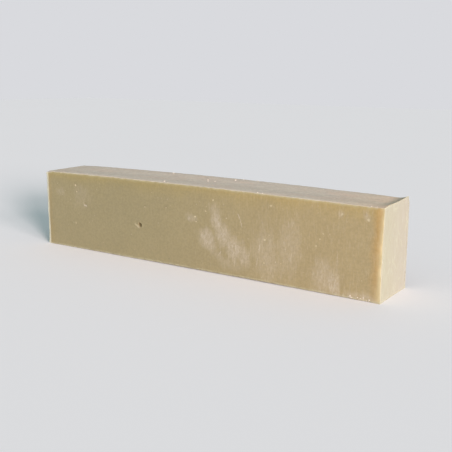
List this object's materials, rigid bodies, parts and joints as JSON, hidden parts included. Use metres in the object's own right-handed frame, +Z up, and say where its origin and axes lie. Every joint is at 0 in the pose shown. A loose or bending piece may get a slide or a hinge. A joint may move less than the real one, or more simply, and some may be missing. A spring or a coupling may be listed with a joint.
{
  "type": "bar of soap",
  "caption": "Long uncut bar of handmade soap with flat moulded sides and ends, rounded edges and a slightly crowned, wavy poured top.",
  "frame": {"origin": "middle of the flat base that the loaf rests on", "axes": "+X along the loaf towards the end with the lip, +Y from the front face to the back face, +Z up to the poured top"},
  "size_m": [0.388, 0.06, 0.0834],
  "materials": {
    "soap": "waxy satin tan, paler and drier on the ends, with an ashy grey-beige bloom on the poured top"
  },
  "bodies": {
    "root": {"soap_bar": "soap"}
  },
  "joints": []
}
